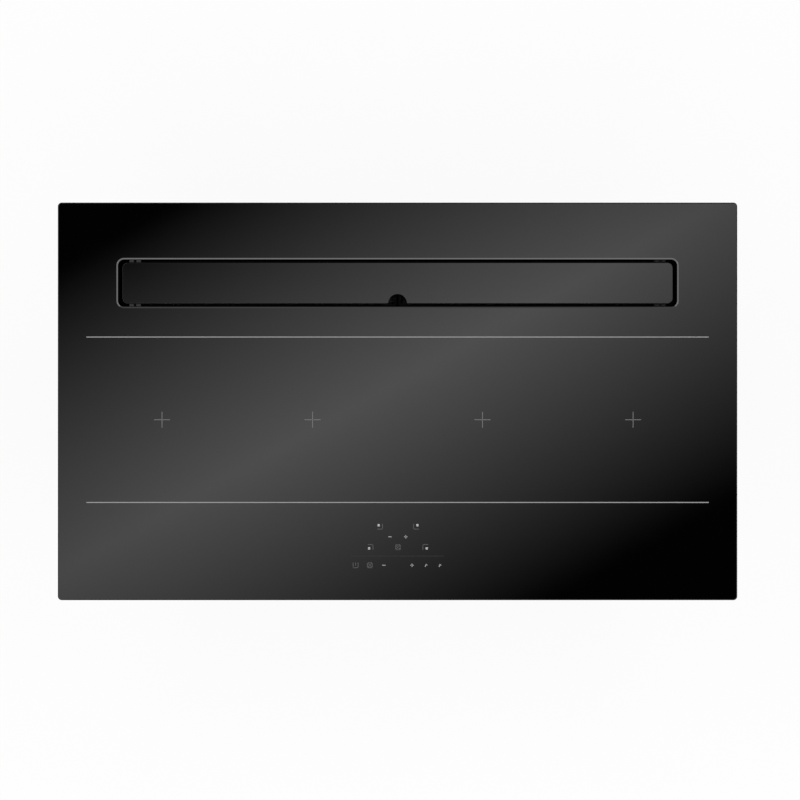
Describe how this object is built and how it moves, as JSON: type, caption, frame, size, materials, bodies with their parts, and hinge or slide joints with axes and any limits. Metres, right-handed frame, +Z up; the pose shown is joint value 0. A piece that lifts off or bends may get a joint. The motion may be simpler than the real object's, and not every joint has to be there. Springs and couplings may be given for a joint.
{
  "type": "downdraft induction cooktop",
  "caption": "Frameless black glass induction cooktop with in-line zones, a rear suction slot under a loose glass cover, and a blower box that hangs below the worktop.",
  "frame": {"origin": "centre of the worktop cut-out, at the worktop's upper surface, which is the underside of the rim seal", "axes": "+X to the cook's right along the glass, +Y to the rear, towards the suction slot, +Z up"},
  "size_m": [0.88, 0.515, 0.2139],
  "materials": {
    "black_glass": "polished black glass ceramic, opaque",
    "seal_rubber": "matt foam seal",
    "galvanised_steel": "galvanised sheet",
    "stainless_steel": "brushed stainless",
    "black_enamel": "satin black enamel on steel",
    "zinc_steel": "zinc plated",
    "aluminium": "mill finish",
    "copper": "enamelled copper litz",
    "mica": "matt mica sheet",
    "carrier_plastic": "moulded, matt",
    "circuit_board": "solder mask",
    "black_plastic": "moulded, satin",
    "grey_plastic": "moulded, satin",
    "grey_silicone": "moulded silicone"
  },
  "bodies": {
    "case": {"glass_top": "black_glass", "rim_seal": "seal_rubber", "glass_frame": "galvanised_steel", "slot_frame": "black_plastic", "cover_pad_front_left": "grey_silicone", "cover_pad_front_right": "grey_silicone", "cover_pad_rear_left": "grey_silicone", "cover_pad_rear_right": "grey_silicone", "base_tray": "galvanised_steel", "coil_deck": "aluminium", "coil_insulation_1": "mica", "coil_insulation_2": "mica", "coil_insulation_3": "mica", "coil_insulation_4": "mica", "coil_winding_1": "copper", "coil_winding_2": "copper", "coil_winding_3": "copper", "coil_winding_4": "copper", "coil_carrier_1": "carrier_plastic", "coil_carrier_2": "carrier_plastic", "coil_carrier_3": "carrier_plastic", "coil_carrier_4": "carrier_plastic", "power_board_left": "circuit_board", "power_board_right": "circuit_board", "heatsink_left": "aluminium", "heatsink_right": "aluminium", "mains_board": "circuit_board", "touch_board": "circuit_board", "touch_holder": "black_plastic", "fan_housing_left": "black_plastic", "fan_housing_right": "black_plastic", "plenum_box": "galvanised_steel", "blower_box": "galvanised_steel", "scroll_lower": "black_plastic", "scroll_upper": "black_plastic", "blower_motor": "galvanised_steel", "outlet_collar": "black_plastic", "terminal_box": "black_plastic", "cable_gland": "grey_plastic", "clamp_screw_front_left": "zinc_steel", "clamp_screw_front_right": "zinc_steel", "clamp_screw_rear_left": "zinc_steel", "clamp_screw_rear_right": "zinc_steel"},
    "cover": {"cover_glass": "black_glass", "cover_backing": "black_plastic"},
    "filter_left": {"filter_frame_left": "black_enamel", "filter_mesh_left": "aluminium"},
    "filter_right": {"filter_frame_right": "black_enamel", "filter_mesh_right": "aluminium"},
    "drip_tray": {"drip_tray": "grey_plastic"},
    "impeller": {"impeller": "grey_plastic", "motor_shaft": "stainless_steel"},
    "fan_left": {"fan_rotor_left": "grey_plastic"},
    "fan_right": {"fan_rotor_right": "grey_plastic"},
    "damper": {"damper_flap": "aluminium", "damper_pin": "stainless_steel"},
    "clamp_front_left": {"clamp_arm_front_left": "zinc_steel"},
    "clamp_front_right": {"clamp_arm_front_right": "zinc_steel"},
    "clamp_rear_left": {"clamp_arm_rear_left": "zinc_steel"},
    "clamp_rear_right": {"clamp_arm_rear_right": "zinc_steel"}
  },
  "joints": [
    {"name": "cover_lift", "type": "slide", "parent": "case", "child": "cover", "axis": [0, 0, 1], "range_m": [0, 0.24]},
    {"name": "filter_left_lift", "type": "slide", "parent": "case", "child": "filter_left", "axis": [0, 0, 1], "range_m": [0, 0.12]},
    {"name": "filter_right_lift", "type": "slide", "parent": "case", "child": "filter_right", "axis": [0, 0, 1], "range_m": [0, 0.12]},
    {"name": "drip_tray_drop", "type": "slide", "parent": "case", "child": "drip_tray", "axis": [0, 0, -1], "range_m": [0, 0.06]},
    {"name": "impeller_spin", "type": "hinge", "parent": "case", "child": "impeller", "pos_m": [-0.04852, -0.01505, -0.1756], "axis": [0, 0, 1], "continuous": true},
    {"name": "fan_left_spin", "type": "hinge", "parent": "case", "child": "fan_left", "pos_m": [-0.343, -0.189, -0.0277], "axis": [0, 0, 1], "continuous": true},
    {"name": "fan_right_spin", "type": "hinge", "parent": "case", "child": "fan_right", "pos_m": [0.343, -0.189, -0.0277], "axis": [0, 0, 1], "continuous": true},
    {"name": "damper_swing", "type": "hinge", "parent": "case", "child": "damper", "pos_m": [0.20508, -0.04855, -0.1216], "axis": [0, -1, 0], "range_deg": [0, 75]},
    {"name": "clamp_front_left_swing", "type": "hinge", "parent": "case", "child": "clamp_front_left", "pos_m": [-0.4005, -0.17, -0.0563], "axis": [0, 0, 1], "range_deg": [0, 90]},
    {"name": "clamp_front_right_swing", "type": "hinge", "parent": "case", "child": "clamp_front_right", "pos_m": [0.4005, -0.17, -0.0563], "axis": [0, 0, -1], "range_deg": [0, 90]},
    {"name": "clamp_rear_left_swing", "type": "hinge", "parent": "case", "child": "clamp_rear_left", "pos_m": [-0.4005, 0.17, -0.0563], "axis": [0, 0, -1], "range_deg": [0, 90]},
    {"name": "clamp_rear_right_swing", "type": "hinge", "parent": "case", "child": "clamp_rear_right", "pos_m": [0.4005, 0.17, -0.0563], "axis": [0, 0, 1], "range_deg": [0, 90]}
  ],
  "couplings": [
    {"joint": "filter_left_lift", "follows": "cover_lift", "ratio": 0.5},
    {"joint": "filter_right_lift", "follows": "cover_lift", "ratio": 0.5}
  ]
}
